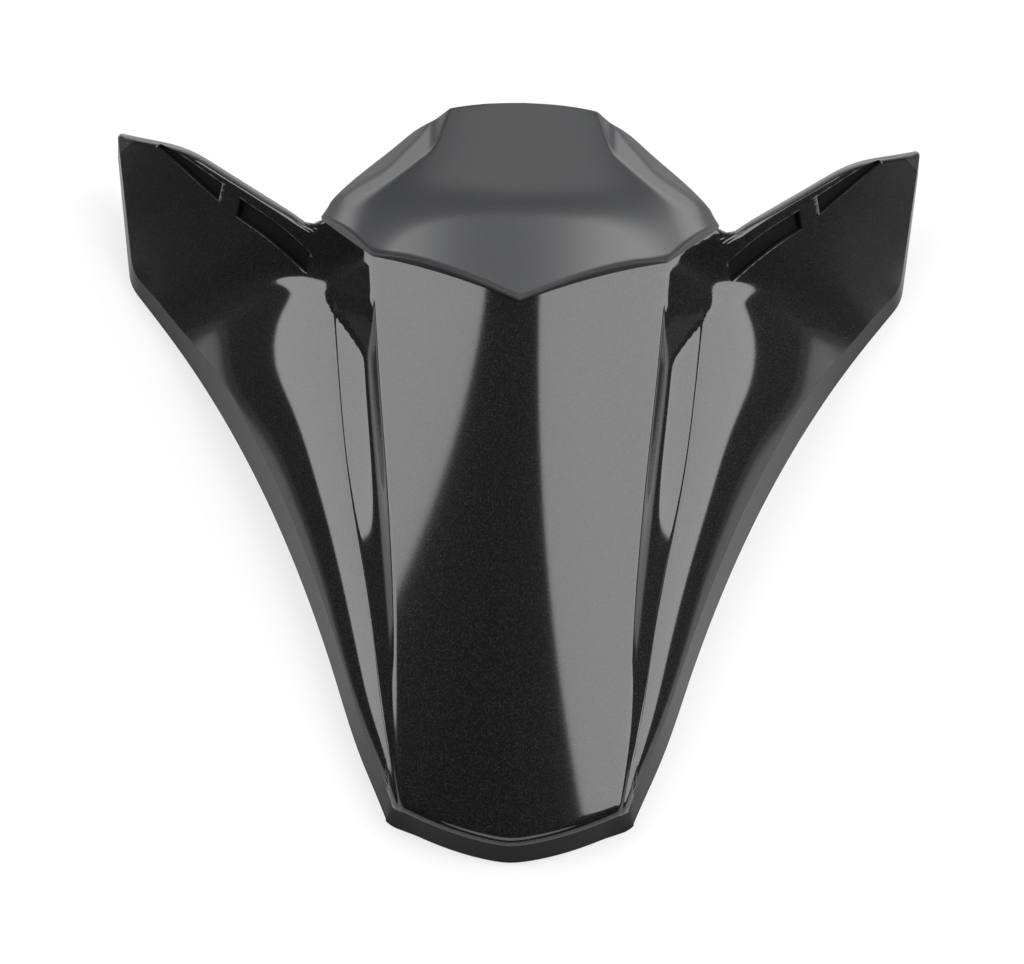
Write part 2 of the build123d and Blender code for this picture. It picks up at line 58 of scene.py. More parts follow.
# Grid spacing: rows over a rolled edge, how fast spacing closes up, and typical lengths of the long lines
ROLL_STEPS = 16
ROW_POWER = 1.15
SPINE_POWER = 1.8
ROOT_ROW_POWER = 2.2
REAR_RUN = 200.0
FRONT_RUN = 70.0

# Search for the crossings of plan lines, step for their slopes, and merging of points
HALVINGS = 60
SLOPE_STEP = 0.05
TAIL_SEARCH = (30.0, 60.0)
ROOT_SEARCH = (180.0, 240.0)
FRONT_SEARCHES = ((40.0, 75.0), (140.0, 172.0), (150.0, 175.0))
WELD = 0.004
SLIVER = 0.002

# Numbers of the shell's materials, without the one that the slots' cutters bring, the near-black lining of
# painted shade in the slots
SKIN_PAINT = 0
INSIDE_PLASTIC = 1
SKIRT_PAINT = 2
FRONT_PAINT = 4

# Edges sharper than these angles stay crisp
SHELL_ANGLE = 38.0
CROWN_ANGLE = 40.0

# Spine: start, slope and curve of its middle line behind the bend, its slope ahead of it, and its arch
SPINE_START = 13.5
SPINE_SLOPE = 0.414
SPINE_CURVE = 0.000241
SPINE_BEND_END = 201.0
SPINE_END_SLOPE = 0.317
SPINE_RADIUS = 159.0
SPINE_ROUND_HALF = 57.0

# Step beside the spine: how sharply it drops at the top, its least even share, and its slope below the flank
STEP_POWER = 8
STEP_EVEN_LEAST = 0.5
STEP_TAIL_SLOPE = 1.6
STEP_FADE = 14.0

# Rounding of the step's shoulder, which is widest between its ends, and of its foot
SHOULDER_BLEND = 4.0
SHOULDER_END_BLEND = 1.2
SHOULDER_START = 60.0
SHOULDER_START_RUN = 70.0
SHOULDER_END_RUN = 20.0
FOOT_BLEND = 0.5

# Fine groove along the step's foot
GROOVE_DEPTH = 0.35
GROOVE_HALF = 0.55
GROOVE_START = 60.0
GROOVE_START_RUN = 70.0
GROOVE_END = 222.0
GROOVE_END_RUN = 8.0

# Flank: how far it goes on under the step, and its most bow
FLANK_REACH = 1.3
FLANK_REACH_BLEND = 0.1
FLANK_BOW_MOST = 0.7

# Wing: the point where it meets step and flank, and its steep root
WING_ROOT = (73.6, 213.0, 62.3)
WING_ROOT_FALL = 1.32
WING_ROOT_OUTER_FALL = 1.15
WING_ROOT_RISE = 0.77
WING_ROOT_END = 222.0
ROOT_BLEND = 0.5
ROOT_WALL_BLEND = 2.0
WING_BLEND = 3.0
WING_BLEND_RUN = 20.0

# Crease above the wing wall: offset from the shoulder, then half width, station and rate of its straight runs
SHOULDER_OFFSET = 0.5
CREASE_TURN = (59.0, 228.2, 1.2)
CREASE_WING = (83.0, 247.0, 0.55)
CREASE_TIP = (114.6, 304.5, 0.20)
CREASE_TURN_BLEND = 7.0
CREASE_TIP_BLEND = 4.0
CREASE_VALLEY_BLEND = 6.0

# Plan outline of the tail: its lip with a rounded point, its corners, its roll and the flare of its skirt
TAIL_SLOPE = 0.1375
TAIL_CURVE = 0.005243
TAIL_POINT = 4.0
TAIL_INSET = 1.0
TAIL_ROLL = 2.6
TAIL_CORNER = 6.0
TAIL_HALF = 47.2
TAIL_FLARE_START = 34.0
TAIL_FLARE_STATION = 20.0

# Plan outline of the nose and the wings, and the roll of their front edge
NOSE_Y = 273.0
NOSE_CURVE = 0.003867
VALLEY = (82.0, 247.0)
VALLEY_BLEND = 7.0
WING_BEND = (136.5, 304.5)
WING_CORNER = (162.0, 273.0)
WING_CORNER_BLEND = 3.0
WING_TIP = (170.6, 332.0)
WING_EDGE_END = (169.0, WING_TIP[1] - 0.4)
WING_EDGE_BLEND = 2.0
TIP_ROUND = 5.0
FRONT_ROLL = 4.4
FRONT_ROLL_START = 0.72
FRONT_ROLL_BLEND = 0.5

# Grid lines at the wing root, and from there to the wing tip
ROOT_CENTRE_Y = 216.0
ROOT_RIM_Y = 206.0
RIDGE_RATE = 0.80
TIP_FLAT = 1.2

# Sideways share of the move that makes the inner skin from the outer one
SIDE_SHIFT = 0.7

# Lower rim: its rise to the wing tips, its bevel, and shares of the way across the wall and down the skirt
WING_LIFT_START = 274.0
WING_LIFT_SLOPE = 0.30
RIM_BEVEL = 0.4
RIM_TOE = 0.16
RIM_HEEL = 0.9
SKIRT_SHARES = (0.03, 0.1, 0.25, 0.45, 0.65, 0.8, 0.9)
INSIDE_SHARES = (0.0, 0.5)

# Slots in the wing wall by their corners in plan, their rounded lip and their depth
INNER_SLOT = ((113.7, 270.3), (84.0, 237.8), (85.5, 233.5), (115.0, 265.8))
OUTER_SLOT = ((149.4, 310.4), (122.0, 280.1), (123.2, 275.9), (150.0, 309.6))
SLOT_LIP = 0.8
SLOT_DEPTH = 2.3
SLOT_POINTS = 15

# Layers of a slot's cutter: height over the wing wall, and share of the lip by which it widens
SLOT_LAYERS = (
    (-SLOT_DEPTH, 0.0),
    (-SLOT_LIP, 0.0),
    (-0.45 * SLOT_LIP, 0.25),
    (-0.12 * SLOT_LIP, 0.62),
    (0.1, 1.0),
    (3.0, 1.0),
)

# Crown: seam outline in plan, its front edge behind the shell's, and the grid over it
CROWN_TIP_Y = 201.5
CROWN_BEND = (58.7, 225.5)
CROWN_BEND_SHARE = 0.7
CROWN_CORNER = (79.0, 244.5)
CROWN_CORNER_REACH = 0.3
CROWN_END = 1.2
CROWN_END_SLOPE = 1.3
CROWN_SETBACK = 2.5
CROWN_SIDE_SETBACK = 0.4
CROWN_SETBACK_START = 25.0
CROWN_SETBACK_RUN = 20.0
CROWN_COLUMNS = 110
CROWN_ROWS = 150

# Crown: crest, face behind it, bevel, side and scoop
CREST_Y = 263.0
CREST_HEIGHT = 135.0
CREST_RADIUS = 110.0
CREST_SHOULDER = 14.5
CREST_SHOULDER_AT = 70.0
CREST_LEAN = 4.0
CREST_BLEND = 2.5
CROWN_FACE_FOOT = 88.5
CROWN_FOOT_RADIUS = 600.0
CROWN_BEVEL = (53.5, 246.0, 103.1)
CROWN_BEVEL_FALL = 0.66
CROWN_BEVEL_RISE = 0.30
CROWN_BEVEL_TURN = 35.0
CROWN_BEVEL_BLEND = 2.0
CROWN_SIDE_LEAN = 0.05
CROWN_CREASE = 0.7
SCOOP_RADIUS = 320.0
SCOOP_SIDE = 8.6
SCOOP_SLOPE = 0.404
SCOOP_BLEND = 5.0

# Crown: lip at the seam, gap below, least thickness, rolled edges, and shares of grid lines square to them
CROWN_LIP = 2.2
CROWN_GAP = 0.3
CROWN_LEAST = 0.5
CROWN_ROLL = 1.3
CROWN_SEAM_SHARE = 0.75
CROWN_FRONT_SHARE = 0.8

# Flakes of the shell's paint: cells to a metre, relief, and the share of cells that stay dark
FLAKE_SCALE = 3600.0
FLAKE_RELIEF = 0.0004
FLAKE_STRENGTH = 0.12
FLAKE_DARK_SHARE = 0.55
FLAKE_DARK = (0.004, 0.004, 0.0042)
FLAKE_LIGHT = (0.019, 0.019, 0.020)

# Grain of the other surfaces: octaves, strength of its relief, and the range of noise that it uses
GRAIN_DETAIL = 6.0
GRAIN_STRENGTH = 0.3
GRAIN_RANGE = (0.3, 0.7)

# Floor, in metres: half size, shorter fade sideways than forward, and its tone and glow near and far, which
# paint a pool of light: white by the cowl, dark grey far from it
FLOOR_HALF = 6.0
FLOOR_STRETCH = (1, 0.3, 1)
FLOOR_POOL_FADE = (0.36, 0.8)
FLOOR_POOL_TONE = (0.75, 0.14)
FLOOR_POOL_GLOW = (1.0, 0.14)
FLOOR_GLOW_SHARE = 0.6

# Surroundings: directions between which they brighten, and their strength there
WORLD_RISE = (0.35, 1.0)
WORLD_STRENGTH = (0.05, 2.6)

# Distance of the lamps in metres
LAMP_DISTANCE = 4.0

# Camera: angles in degrees, distance in metres, pixel size at the target, and the target in the picture
CAMERA_ELEVATION = 54.0
CAMERA_AZIMUTH = -1.246
CAMERA_ROLL = 2.231
CAMERA_TARGET = (0.0, 170.0, 45.0)
CAMERA_DISTANCE = 1.5
PIXEL_SIZE = 0.395
TARGET_PX = (516.35, 430.46)
PICTURE_PX = (1024, 964)
SENSOR_WIDTH = 36.0


def spline(*knots):
    """Natural cubic curve through (station, value) knots, straight beyond both ends."""
    at = np.array([knot[0] for knot in knots], float)
    val = np.array([knot[1] for knot in knots], float)
    gap = np.diff(at)
    rise = np.diff(val) / gap
    matrix = np.eye(len(at))
    right = np.zeros(len(at))
    for i in range(1, len(at) - 1):
        matrix[i, i - 1:i + 2] = gap[i - 1], 2 * (gap[i - 1] + gap[i]), gap[i]
        right[i] = 6 * (rise[i] - rise[i - 1])
    bend = np.linalg.solve(matrix, right)

    def value(x):
        x = np.asarray(x, float)
        inside = np.clip(x, at[0], at[-1])
        i = np.clip(np.searchsorted(at, inside) - 1, 0, len(at) - 2)
        d = inside - at[i]
        third = (bend[i + 1] - bend[i]) / gap[i]
        first = rise[i] - gap[i] * (2 * bend[i] + bend[i + 1]) / 6
        cubic = val[i] + d * (first + d * (bend[i] / 2 + d * third / 6))
        slope = first + d * (bend[i] + d * third / 2)
        return cubic + slope * (x - inside)

    return value


# Half widths of rim, spine edge and step foot by station
RIM_CURVE = spline(
    (-14, 37.5), (19.1, 47.7), (45.7, 58), (82.1, 69.4), (119.5, 81.7), (158, 96.7), (198, 115.5), (239, 139),
    (273, 162.0))
EDGE = spline(
    (-14, 36), (20, 41.8), (45.7, 44.2), (82, 46.2), (119.5, 49.2), (150, 52), (180, 55), (213, 57.5),
    (260, 59))
CREASE = spline(
    (-14, 37), (20, 43.2), (45.7, 48.5), (82, 53.9), (119.5, 60.7), (150, 66.3), (180, 70.2), (213, 73.6),
    (260, 78.5))

# Skirt and flank by station: heights, spans and slope
SKIRT_TOP = spline(
    (-14, 1.0), (3, 7.0), (20, 11.8), (40, 14.5), (60, 16.6), (82, 18.6), (120, 21), (150, 22.8), (180, 23.4),
    (213, 21.5), (240, 12.5), (273, 8), (332, 25))
SKIRT_INSET = spline((-14, 2.6), (20, 2.6), (120, 2.2), (240, 1.7), (332, 0.8))
FLANK_SPAN = spline(
    (-14, 1.0), (20, 1.8), (45.7, 6.9), (82, 13.2), (119.5, 18.8), (150, 25), (180, 34.5), (213, 47.2),
    (240, 49.3), (273, 48.5), (332, 48))
FLANK_RISE = spline(
    (-14, 2.0), (20, 2.3), (45.7, 6.2), (82, 11.3), (119.5, 16.9), (150, 22.6), (180, 30), (213, 40.2),
    (240, 49.5), (273, 50), (332, 48))
FLANK_TOP_SLOPE = spline(
    (-14, 0.45), (180, 0.45), (213, 0.46), (228, 0.58), (240, 0.8), (254, 1.0), (332, 1.0))

# Fall of the wing wall and even share of the step by station, and height of the crown's side by half width
WING_FALL = spline((190, 1.08), (213, 1.04), (222, 0.98), (231, 0.99), (242, 1.09), (255, 1.15), (332, 1.15))
STEP_EVEN = spline((-14, 1.0), (60, 1.0), (90, 0.86), (110, 0.8), (150, 0.56), (190, 0.5), (260, 0.5))
CROWN_SIDE = spline((28, 133), (36.6, 121), (45, 113), (51, 107.6), (64, 97.8), (76.5, 87.2), (82, 81.5))


def soft_min(a, b, width):
    """The lower of two heights, with the crease between them rounded."""
    share = np.maximum(width - np.abs(a - b), 0) / width
    return np.minimum(a, b) - share * share * width / 4


def soft_max(a, b, width):
    """The higher of two heights, with the crease between them rounded."""
    return -soft_min(-a, -b, width)


def ease(t):
    """Smooth step from 0 to 1."""
    t = np.clip(t, 0, 1)
    return t * t * (3 - 2 * t)


def between(a, b, t):
    """Values from one end to the other."""
    return a + (b - a) * t


def arc_drop(x, radius):
    """Fall of an arch at a distance from its middle."""
    return radius - np.sqrt(radius * radius - x * x)


def rolled(d, radius):
    """Fall of a surface that rolls over an edge, at a distance from that edge."""
    inside = np.clip(radius - d, 0, radius)
    return radius - np.sqrt(radius * radius - inside * inside)


def slope_scale(line, x):
    """Plan length for each unit of width along an outline."""
    rate = (line(x + SLOPE_STEP) - line(x - SLOPE_STEP)) / (2 * SLOPE_STEP)
    return np.sqrt(1 + rate * rate)


def solve(gap, low, high):
    """Root of an increasing function between two bounds."""
    low = np.array(low, float)
    high = np.array(high, float)
    for _ in range(HALVINGS):
        middle = (low + high) / 2
        above = gap(middle) > 0
        high = np.where(above, middle, high)
        low = np.where(above, low, middle)
    return (low + high) / 2


def rim(y):
    """Half width of the lower rim, with the corner where the wing's end begins."""
    slope = (WING_TIP[0] - WING_CORNER[0]) / (WING_TIP[1] - WING_CORNER[1])
    wing = WING_CORNER[0] + slope * (y - WING_CORNER[1])
    return soft_min(RIM_CURVE(y), wing, WING_CORNER_BLEND)


def spine_line(y):
    """Height of the spine's middle line."""
    near = np.minimum(y, SPINE_BEND_END)
    behind = SPINE_START + SPINE_SLOPE * near - SPINE_CURVE * near * near
    return behind + SPINE_END_SLOPE * np.maximum(y - SPINE_BEND_END, 0)


def spine(x, y):
    """The crowned plateau along the middle."""
    inner = np.minimum(x, SPINE_ROUND_HALF)
    tangent = SPINE_ROUND_HALF / math.sqrt(SPINE_RADIUS**2 - SPINE_ROUND_HALF**2)
    return spine_line(y) - arc_drop(inner, SPINE_RADIUS) - tangent * (x - inner)


def flank(x, y):
    """The outer flank, steepening from the step to the skirt."""
    span = FLANK_SPAN(y)
    height = FLANK_RISE(y)
    bow = np.clip(1 - FLANK_TOP_SLOPE(y) * span / height, 0, FLANK_BOW_MOST)
    s = soft_min((rim(y) - SKIRT_INSET(y) - x) / span, FLANK_REACH, FLANK_REACH_BLEND)
    return SKIRT_TOP(y) + height * ((1 + bow) * s - bow * s * s)


def step_wall(x, y):
    """The step from the spine down to the flank: a short steep drop, then an even slope."""
    edge = EDGE(y)
    crease = CREASE(y)
    top = spine(edge, y)
    fall = top - SKIRT_TOP(y) - FLANK_RISE(y)
    s = (x - edge) / (crease - edge)
    beyond = STEP_TAIL_SLOPE * np.maximum(x - crease, 0)
    s = np.minimum(s, 1)
    rise = STEP_POWER * ease((WING_ROOT[1] - y) / STEP_FADE)
    steep = np.where(s < 0, rise * s, 1 - np.abs(1 - s) ** STEP_POWER)
    even = np.clip(STEP_EVEN(y), STEP_EVEN_LEAST, 1.0)
    return top - fall * (even * s + (1 - even) * steep) - beyond


def plan_run(run, y):
    """Half width of a straight plan line given by half width, station and rate."""
    return run[0] + run[2] * (y - run[1])


def wing_crease(y):
    """Half width of the crease above the wing wall: along the shoulder, out to the valley, along the wing."""
    inner = soft_max(EDGE(y) + SHOULDER_OFFSET, plan_run(CREASE_TURN, y), CREASE_TURN_BLEND)
    outer = soft_min(plan_run(CREASE_WING, y), plan_run(CREASE_TIP, y), CREASE_TIP_BLEND)
    return soft_min(inner, outer, CREASE_VALLEY_BLEND)


def wing_wall(x, y):
    """The wing's sloping upper wall, with its steeper root."""
    x0, y0, z0 = WING_ROOT
    out = x - x0
    fall = WING_ROOT_FALL * np.minimum(out, 0) + WING_ROOT_OUTER_FALL * np.maximum(out, 0)
    root = z0 - fall + WING_ROOT_RISE * (y - y0) + np.maximum(y - WING_ROOT_END, 0)
    crease = wing_crease(y)
    wall = spine(crease, y) - WING_FALL(y) * (x - crease)
    return soft_min(root, wall, ROOT_WALL_BLEND)


def groove(x, y):
    """A fine line along the foot of the step, fading out towards the tail."""
    start = ease((y - GROOVE_START) / GROOVE_START_RUN)
    end = ease((GROOVE_END - y) / GROOVE_END_RUN)
    return GROOVE_DEPTH * start * end * np.exp(-((x - CREASE(y)) / GROOVE_HALF) ** 2)


def shell_height(x, y):
    """Outer surface of the shell seen from above, before its edges are rolled."""
    walls = soft_max(step_wall(x, y), wing_wall(x, y), ROOT_BLEND)
    middle = ease((y - SHOULDER_START) / SHOULDER_START_RUN) * ease((WING_ROOT[1] - y) / SHOULDER_END_RUN)
    shoulder = between(SHOULDER_END_BLEND, SHOULDER_BLEND, middle)
    inner = soft_min(spine(x, y), walls, shoulder)
    blend = between(FOOT_BLEND, WING_BLEND, ease((y - WING_ROOT[1]) / WING_BLEND_RUN))
    return soft_max(flank(x, y), inner, blend) - groove(x, y)


def tail_line(x):
    """Plan outline of the tail lip, with its point and corners rounded."""
    lip = TAIL_SLOPE * (np.sqrt(x * x + TAIL_POINT**2) - TAIL_POINT) + TAIL_CURVE * x * x
    return lip + rolled(np.maximum(TAIL_HALF - x, 0), TAIL_CORNER)


def line_through(start, end, x):
    """Station on the straight plan line through two points."""
    return start[1] + (x - start[0]) * (end[1] - start[1]) / (end[0] - start[0])


def front_line(x):
    """Plan outline of the front: nose arc, valley, wing edge with its bend."""
    nose = NOSE_Y - NOSE_CURVE * x * x
    inner = line_through(VALLEY, WING_BEND, x)
    outer = line_through(WING_BEND, WING_EDGE_END, x)
    wing = soft_min(soft_min(inner, outer, WING_EDGE_BLEND), WING_TIP[1], WING_EDGE_BLEND)
    wing = wing - rolled(np.maximum(WING_TIP[0] - x, 0), TIP_ROUND)
    return soft_max(nose, wing, VALLEY_BLEND)


def front_fall(d):
    """Fall of the front edge at a distance from it: a soft crease, then an arc that turns straight down."""
    radius = FRONT_ROLL / (1 - math.sin(FRONT_ROLL_START))
    sine = np.clip(1 - d / radius, math.sin(FRONT_ROLL_START), 1)
    arc = radius * (math.cos(FRONT_ROLL_START) - np.sqrt(1 - sine * sine))
    before = math.tan(FRONT_ROLL_START) * np.maximum(d - FRONT_ROLL, 0)
    return soft_max(arc - before, 0 * d, FRONT_ROLL_BLEND)


def wing_lift(y):
    """Height of the lower rim, which rises towards the wing tips."""
    return np.maximum(0, WING_LIFT_SLOPE * (y - WING_LIFT_START))


def skin_height(x, y, inset):
    """Height of one skin with its tail and front edges rolled over."""
    z = shell_height(x + SIDE_SHIFT * inset, y) - inset
    from_tail = (y - tail_line(x) - TAIL_INSET - inset) / slope_scale(tail_line, x)
    from_front = (front_line(x) - y) / slope_scale(front_line, x) - inset
    return z - rolled(from_tail, TAIL_ROLL) - front_fall(from_front)


def both_ends(count):
    """Spacing from 0 to 1 that is finer at both ends."""
    return 0.5 - 0.5 * np.cos(np.linspace(0, math.pi, count))


def far_end(count):
    """Spacing from 0 to 1 that is finer at the end."""
    return 1 - (1 - np.linspace(0, 1, count)) ** SPINE_POWER


def row_spacing(count, run, roll, at_start):
    """Spacing along rows: angular steps over a rolled edge, then a run that is finer next to that edge."""
    turn = np.linspace(0, math.pi / 2, ROLL_STEPS)
    near = roll * (1 - np.cos(turn)) / run
    rest = between(near[-1], 1, np.linspace(0, 1, count - ROLL_STEPS + 1) ** ROW_POWER)
    spaced = np.concatenate([near, rest[1:]])
    return spaced if at_start else 1 - spaced[::-1]


def plan_points(xs, ys):
    """Plan coordinates as an array of points."""
    return np.stack(np.broadcast_arrays(xs, ys), axis=-1).astype(float)


def straight(a, b, s):
    """Points on a straight plan line."""
    return np.asarray(a)[None] + s[:, None] * (np.asarray(b) - np.asarray(a))[None]


def blended(bottom, top, left, right, s, t):
    """Plan patch between four edge curves with its own spacing along rows and columns."""
    s = s[None, :, None]
    t = t[:, None, None]
    ruled = (1 - t) * bottom[None] + t * top[None] + (1 - s) * left[:, None] + s * right[:, None]
    corners = (1 - t) * ((1 - s) * bottom[0] + s * bottom[-1]) + t * ((1 - s) * top[0] + s * top[-1])
    return ruled - corners


class PlanLines:
    """Plan lines of one skin of the right half, moved inward from the outer skin."""

    def __init__(self, inset):
        self.inset = inset
        self.shift = SIDE_SHIFT * inset

    def tail(self, x):
        """Station of the tail edge."""
        return tail_line(x) + TAIL_INSET + self.inset

    def front(self, x):
        """Station of the front edge."""
        return front_line(x) - self.inset * slope_scale(front_line, x)

    def edge(self, y):
        """Half width of the spine's edge."""
        return EDGE(y) - self.shift

    def crease(self, y):
        """Half width of the step's foot."""
        return CREASE(y) - self.shift

    def foot(self, y):
        """Half width of the flank's lower edge."""
        return rim(y) - SKIRT_INSET(y) - self.inset

    def ridge(self, y):
        """Half width of the line from the wing root to the wing tip."""
        line = WING_ROOT[0] + RIDGE_RATE * (y - WING_ROOT[1])
        return np.minimum(line - self.shift, self.foot(y) - TIP_FLAT)

    def roots(self):
        """Points of the cross line at the wing root: in the middle, and on edge, crease and foot."""
        edge_y = solve(lambda y: wing_wall(EDGE(y), y) - spine(EDGE(y), y), *ROOT_SEARCH)
        return (
            (0.0, ROOT_CENTRE_Y),
            (self.edge(edge_y), edge_y),
            (WING_ROOT[0] - self.shift, WING_ROOT[1]),
            (self.foot(ROOT_RIM_Y), ROOT_RIM_Y),
        )


def crossing(line, outline, bounds):
    """Half width at which a long line meets the outline of an end."""
    return solve(lambda x: x - line(outline(x)), *bounds)


def long_lines(lines, starts, ends, spacing):
    """Points on the middle line and the long lines, each between two stations."""
    stations = [between(start, end, spacing) for start, end in zip(starts, ends)]
    middle = plan_points(0.0, stations[0])
    return [middle] + [plan_points(line(y), y) for line, y in zip(lines, stations[1:])]


def end_rows(outline, crossings, spacings):
    """Points along the outline of an end, patch by patch."""
    runs = [between(*crossings[i:i + 2], spacing) for i, spacing in enumerate(spacings)]
    return [plan_points(x, outline(x)) for x in runs]


def root_rows(roots, spacings):
    """Points along the cross line at the wing root, bowed on the spine and straight beside it."""
    middle, inner, outer, foot = roots
    bow = (middle[1] - inner[1]) * spacings[0]**ROOT_ROW_POWER
    return [
        plan_points(inner[0] * spacings[0], middle[1] - bow),
        straight(inner, outer, spacings[1]),
        straight(outer, foot, spacings[2]),
    ]


def joined(near_rows, far_rows, lines, spacings, rows):
    """Plan grid of neighbouring patches between two cross lines."""
    patches = []
    for i, spacing in enumerate(spacings):
        patches.append(blended(near_rows[i], far_rows[i], *lines[i:i + 2], spacing, rows))
    return np.concatenate([patches[0]] + [patch[:, 1:] for patch in patches[1:]], axis=1)


def shell_plan(inset):
    """Plan grid of the right half: tail to front by rows, middle to skirt by columns."""
    plan = PlanLines(inset)
    roots = plan.roots()
    root_y = [point[1] for point in roots]
    spacings = far_end(SPINE_COLUMNS), both_ends(STEP_COLUMNS), both_ends(FLANK_COLUMNS)
    across = root_rows(roots, spacings)

    # From the tail to the wing root
    lines = plan.edge, plan.crease, plan.foot
    rows = row_spacing(REAR_ROWS, REAR_RUN, TAIL_ROLL, True)
    tail_x = [0.0] + [crossing(line, plan.tail, TAIL_SEARCH) for line in lines]
    along = long_lines(lines, [plan.tail(x) for x in tail_x], root_y, rows)
    along[2][-1] = roots[2]
    rear = joined(end_rows(plan.tail, tail_x, spacings), across, along, spacings, rows)

    # From the wing root to the front
    lines = plan.edge, plan.ridge, plan.foot
    rows = row_spacing(FRONT_ROWS, FRONT_RUN, FRONT_ROLL + FRONT_ROLL_BLEND, False)
    front_x = [0.0] + [crossing(line, plan.front, bounds) for line, bounds in zip(lines, FRONT_SEARCHES)]
    along = long_lines(lines, root_y, [plan.front(x) for x in front_x], rows)
    along[1][0] = roots[1]
    along[2][0] = roots[2]
    ahead = joined(across, end_rows(plan.front, front_x, spacings), along, spacings, rows)
    return np.concatenate([rear, ahead[1:]], axis=0)


def edge_ring(grid):
    """Tail, side and front edges of a grid in one run from the middle plane round to it again."""
    return np.concatenate([grid[0], grid[1:, -1], grid[-1, -2::-1]], axis=0)


def shell_net(inset):
    """Right half of one skin: the top grid, its edge ring, and the rim below that ring."""
    plan = shell_plan(inset)
    x, y = plan[..., 0], plan[..., 1]
    z = np.maximum(skin_height(x, y, inset), wing_lift(y) + 2 * WALL - inset)
    grid = np.stack([x, y, z], axis=-1)
    ring = edge_ring(grid)
    foot = ring.copy()
    rows, columns = grid.shape[:2]
    tail_x = foot[:columns, 0]
    flare = ease((tail_x - TAIL_FLARE_START) / (tail_x[-1] - TAIL_FLARE_START))
    foot[:columns, 1] = tail_line(tail_x) + inset
    foot[:columns, 0] = tail_x + SKIRT_INSET(TAIL_FLARE_STATION) * flare
    side = slice(columns - 1, columns + rows - 1)
    foot[side, 0] = rim(foot[side, 1]) - inset
    foot[:, 2] = wing_lift(foot[:, 1])
    return grid, ring, foot


def add_object(name, data):
    """A new object in the scene."""
    made = bpy.data.objects.new(name, data)
    bpy.context.scene.collection.objects.link(made)
    return made


class Mesher:
    """Collects points and faces of a right half, and mirrors them to the left."""

    def __init__(self):
        self.points = []
        self.faces = []
        self.slots = []

    def add(self, points):
        """Adds points, in millimetres from the tail, and returns their numbers in the same layout."""
        flat = np.asarray(points, float).reshape(-1, 3)
        first = len(self.points)
        self.points.extend(flat)
        return np.arange(first, first + len(flat)).reshape(np.asarray(points).shape[:-1])

    def quads(self, numbers, slot=0):
        """Faces of a grid of point numbers."""
        a = numbers[:-1, :-1].ravel()
        b = numbers[:-1, 1:].ravel()
        c = numbers[1:, 1:].ravel()
        d = numbers[1:, :-1].ravel()
        self.faces.extend(zip(a.tolist(), b.tolist(), c.tolist(), d.tolist()))
        self.slots.extend([slot] * len(a))

    def build(self, name):
        """Mesh object of both halves, closed along the middle plane."""
        right = np.array(self.points)
        right[:, 1] -= LENGTH / 2
        left = right * (-1, 1, 1)
        count = len(right)
        faces = self.faces + [tuple(i + count for i in reversed(face)) for face in self.faces]
        mesh = bpy.data.meshes.new(name)
        mesh.from_pydata((np.concatenate([right, left]) * MM).tolist(), [], faces)
        mesh.polygons.foreach_set("material_index", self.slots + self.slots)
        bm = bmesh.new()
        bm.from_mesh(mesh)
        bmesh.ops.remove_doubles(bm, verts=bm.verts, dist=WELD * MM)
        bmesh.ops.dissolve_degenerate(bm, edges=bm.edges, dist=SLIVER * MM)
        bmesh.ops.recalc_face_normals(bm, faces=bm.faces)
        bm.to_mesh(mesh)
        bm.free()
        return add_object(name, mesh)


def finish_mesh(piece, degrees):
    """Smooth shading with edges sharper than the angle kept crisp."""
    piece.data.polygons.foreach_set("use_smooth", [True] * len(piece.data.polygons))
    piece.data.set_sharp_from_angle(angle=math.radians(degrees))


def slot_outline(corners):
    """Points around a slot on the wing wall, front side then rear side, and the directions of its plane."""
    ends = np.array(corners)
    share = np.linspace(0, 1, SLOT_POINTS)
    plan = np.concatenate([straight(ends[0], ends[1], share), straight(ends[2], ends[3], share)])
    heights = skin_height(plan[:, 0], plan[:, 1], 0.0)
    points = [Vector((x, y - LENGTH / 2, z)) for (x, y), z in zip(plan, heights)]
    along = (points[SLOT_POINTS - 1] - points[0]).normalized()
    normal = along.cross(points[SLOT_POINTS // 2] - points[-SLOT_POINTS // 2]).normalized()
    normal = normal if normal.z > 0 else -normal
    ahead = normal.cross(along)
    ahead = ahead if ahead.y > 0 else -ahead
    return points, along, ahead, normal


def widening(index, along, ahead):
    """Direction in which a point of a slot's outline moves as the slot widens."""
    outward = ahead if index < SLOT_POINTS else -ahead
    if index in (0, 2 * SLOT_POINTS - 1):
        outward = outward - along
    if index in (SLOT_POINTS - 1, SLOT_POINTS):
        outward = outward + along
    return outward


def close_loops(bm, loops):
    """Faces between neighbouring loops of a cutter, and over its bottom and top."""
    count = len(loops[0])
    for low, high in zip(loops, loops[1:]):
        for index in range(count):
            after = (index + 1) % count
            bm.faces.new((low[index], low[after], high[after], high[index]))
    for loop in (loops[0], loops[-1]):
        for index in range(SLOT_POINTS - 1):
            bm.faces.new((loop[index], loop[index + 1], loop[count - 2 - index], loop[count - 1 - index]))


def slot_cutter(corners, side, material):
    """Cutter for one wing slot, flared at the surface so that the lip is rounded; its material, painted shade,
    lines the slot's pocket.
    """
    points, along, ahead, normal = slot_outline(corners)
    bm = bmesh.new()
    loops = []
    for height, flare in SLOT_LAYERS:
        loop = []
        for index, point in enumerate(points):
            place = point + widening(index, along, ahead) * (flare * SLOT_LIP) + normal * height
            loop.append(bm.verts.new((side * place.x * MM, place.y * MM, place.z * MM)))
        loops.append(loop)
    close_loops(bm, loops)
    bmesh.ops.recalc_face_normals(bm, faces=bm.faces)
    mesh = bpy.data.meshes.new("slot_cutter")
    bm.to_mesh(mesh)
    bm.free()
    mesh.materials.append(material)
    return add_object("slot_cutter", mesh)


